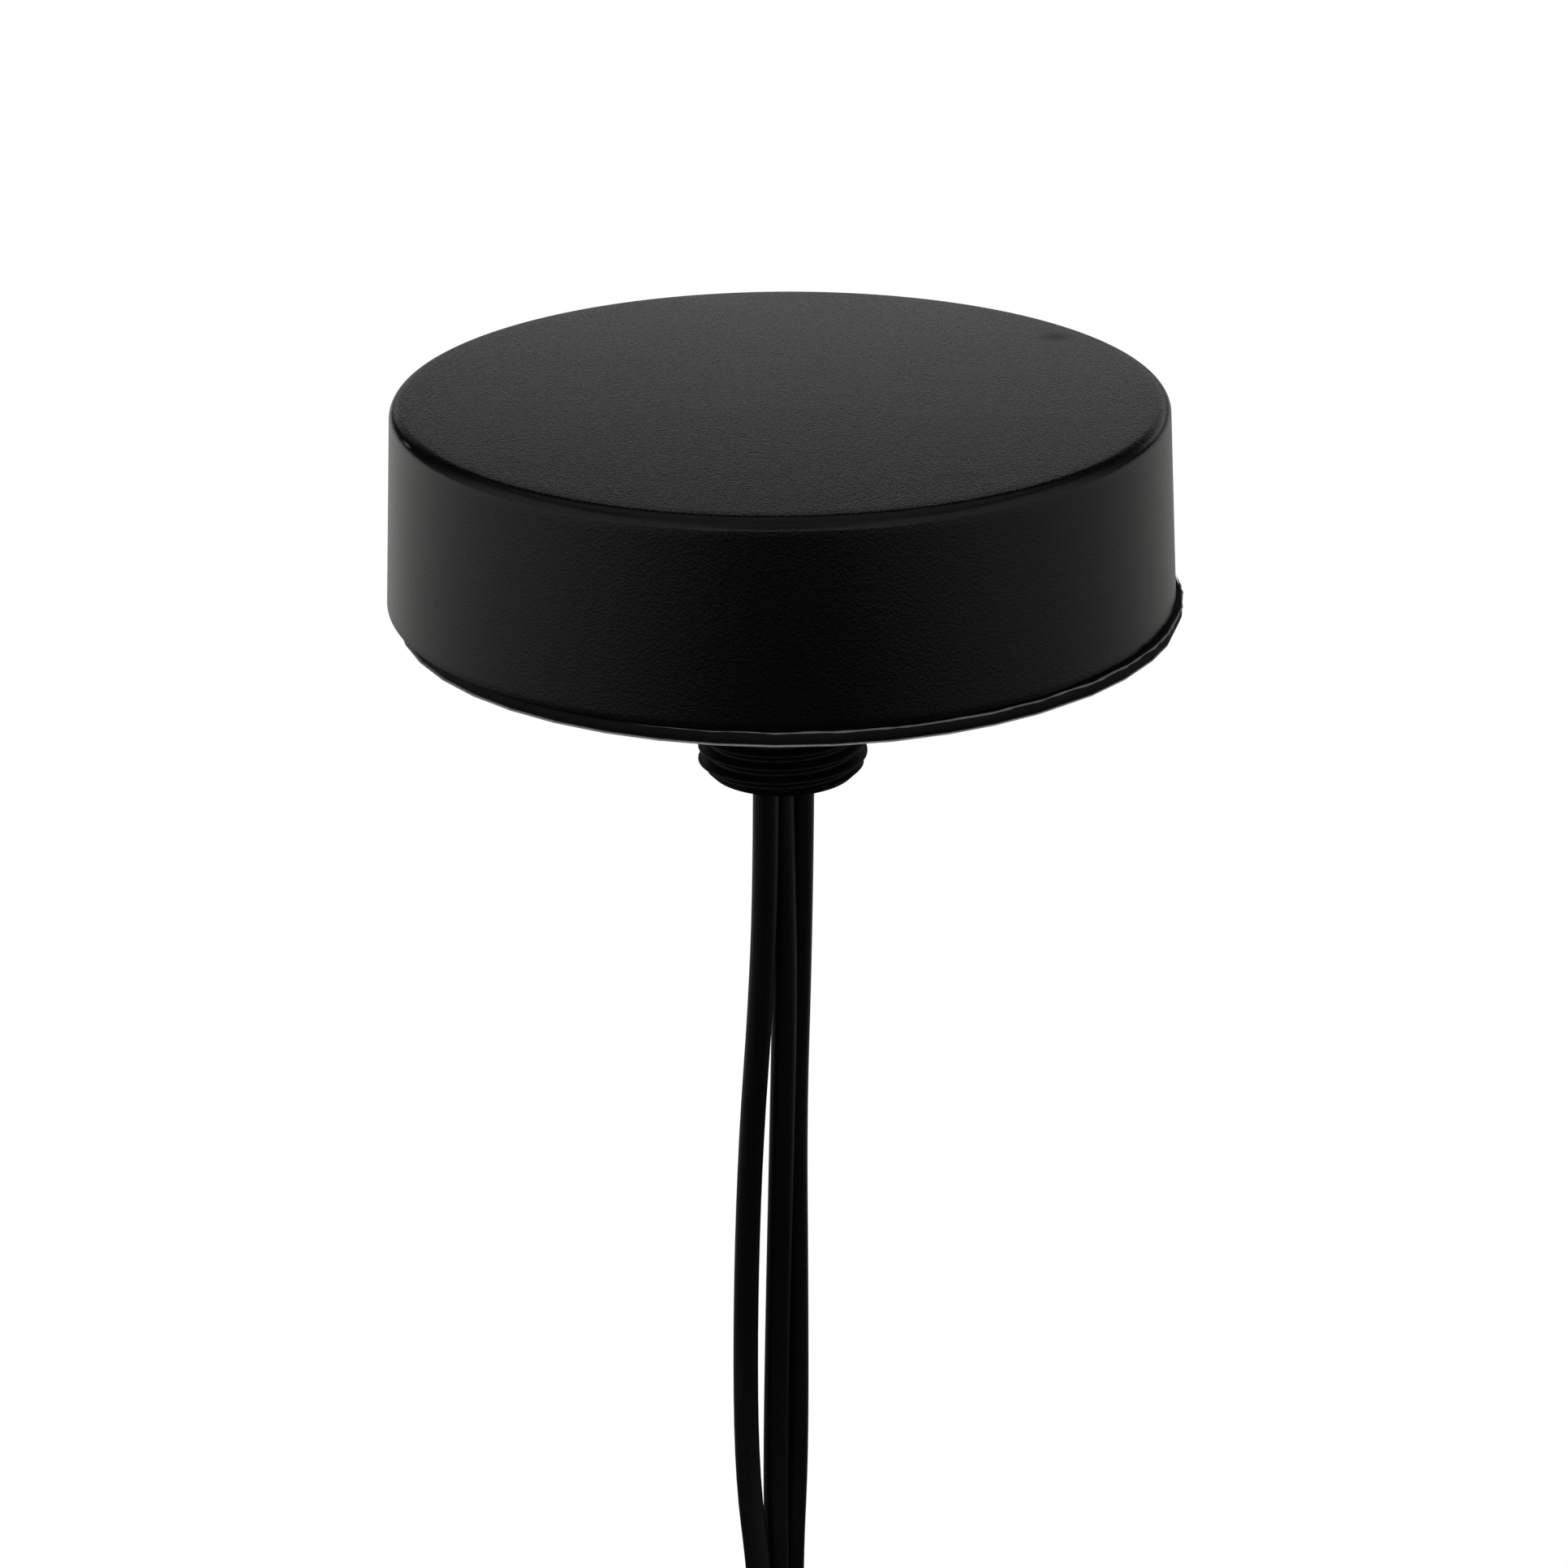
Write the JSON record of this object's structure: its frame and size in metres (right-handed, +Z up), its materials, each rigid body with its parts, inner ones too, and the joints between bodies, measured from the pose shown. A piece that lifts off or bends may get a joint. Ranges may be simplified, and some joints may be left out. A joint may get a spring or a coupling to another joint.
{
  "type": "satellite positioning antenna",
  "caption": "Low round puck antenna with a hollow threaded stud under a foam seat, and coaxial leads that hang from the stud, coiled and tied, to screw-on plugs.",
  "frame": {"origin": "on the stud's axis, in the plane of the seat: the underside of the liner that covers the foam pad", "axes": "+Z up along the stud's axis and out of the domed side; +X to the right when the leads are seen from the front; +Y away from the viewer"},
  "size_m": [0.0831, 0.0826, 0.2565],
  "materials": {
    "radome_plastic": "fine spark-eroded grain",
    "base_plastic": "moulded, plain",
    "pad_foam": "closed-cell foam with a slightly glossy adhesive film",
    "liner_paper": "coated release paper",
    "seal_rubber": "smooth moulded rubber",
    "screw_steel": "zinc plated",
    "board_laminate": "solder resist over copper",
    "tape": "double-sided tape",
    "patch_ceramic": "ground fired ceramic",
    "silver_print": "fired silver print",
    "tinned_steel": "tinned sheet",
    "chip_black": "moulded epoxy",
    "radiator_brass": "stamped sheet",
    "carrier_plastic": "natural moulded plastic",
    "cable_jacket": "extruded vinyl jacket",
    "tie_fabric": "woven hook-and-loop strap",
    "plug_gold": "gold-plated turned brass",
    "insulator_white": "turned fluoropolymer",
    "contact_gold": "gold-plated turned pin",
    "ferrule_nickel": "nickel-plated, crimped",
    "boot_rubber": "shrunk sleeve"
  },
  "bodies": {
    "antenna": {"radome": "radome_plastic", "base": "base_plastic", "foam_pad": "pad_foam", "release_liner": "liner_paper", "seal_ring": "seal_rubber", "case_screws": "screw_steel", "main_board": "board_laminate", "board_screws": "screw_steel", "patch_tape": "tape", "patch_ceramic": "patch_ceramic", "patch_electrode": "silver_print", "feed_pin": "silver_print", "lna_shield": "tinned_steel", "lna_chips": "chip_black", "cellular_radiator": "radiator_brass", "wifi_radiator": "radiator_brass", "radiator_carrier": "carrier_plastic", "cable_clamp": "base_plastic", "clamp_screws": "screw_steel", "cable_bung": "seal_rubber", "lead_terminals": "tinned_steel", "cable_coil": "cable_jacket", "coil_tie_upper": "tie_fabric", "coil_tie_lower": "tie_fabric", "gnss_lead_inner": "cable_jacket", "gnss_lead": "cable_jacket", "gnss_tail": "cable_jacket", "gnss_plug_shell": "plug_gold", "gnss_plug_insulator": "insulator_white", "gnss_plug_contact": "contact_gold", "gnss_plug_ferrule": "ferrule_nickel", "gnss_plug_boot": "boot_rubber", "cellular_lead_inner": "cable_jacket", "cellular_lead": "cable_jacket", "cellular_tail": "cable_jacket", "cellular_plug_shell": "plug_gold", "cellular_plug_insulator": "insulator_white", "cellular_plug_contact": "contact_gold", "cellular_plug_ferrule": "ferrule_nickel", "cellular_plug_boot": "boot_rubber", "wifi_lead_inner": "cable_jacket", "wifi_lead": "cable_jacket", "wifi_tail": "cable_jacket", "wifi_plug_shell": "plug_gold", "wifi_plug_insulator": "insulator_white", "wifi_plug_contact": "contact_gold", "wifi_plug_ferrule": "ferrule_nickel", "wifi_plug_boot": "boot_rubber"},
    "gnss_nut": {"gnss_plug_nut": "plug_gold"},
    "cellular_nut": {"cellular_plug_nut": "plug_gold"},
    "wifi_nut": {"wifi_plug_nut": "plug_gold"}
  },
  "joints": [
    {"name": "gnss_nut_turn", "type": "hinge", "parent": "antenna", "child": "gnss_nut", "pos_m": [0.0295, -0.007, -0.2183], "axis": [0, 0, 1], "continuous": true},
    {"name": "cellular_nut_turn", "type": "hinge", "parent": "antenna", "child": "cellular_nut", "pos_m": [0.031, 0.002, -0.2293], "axis": [0, 0, 1], "continuous": true},
    {"name": "wifi_nut_turn", "type": "hinge", "parent": "antenna", "child": "wifi_nut", "pos_m": [0.03, 0.011, -0.2183], "axis": [0, 0, 1], "continuous": true}
  ]
}
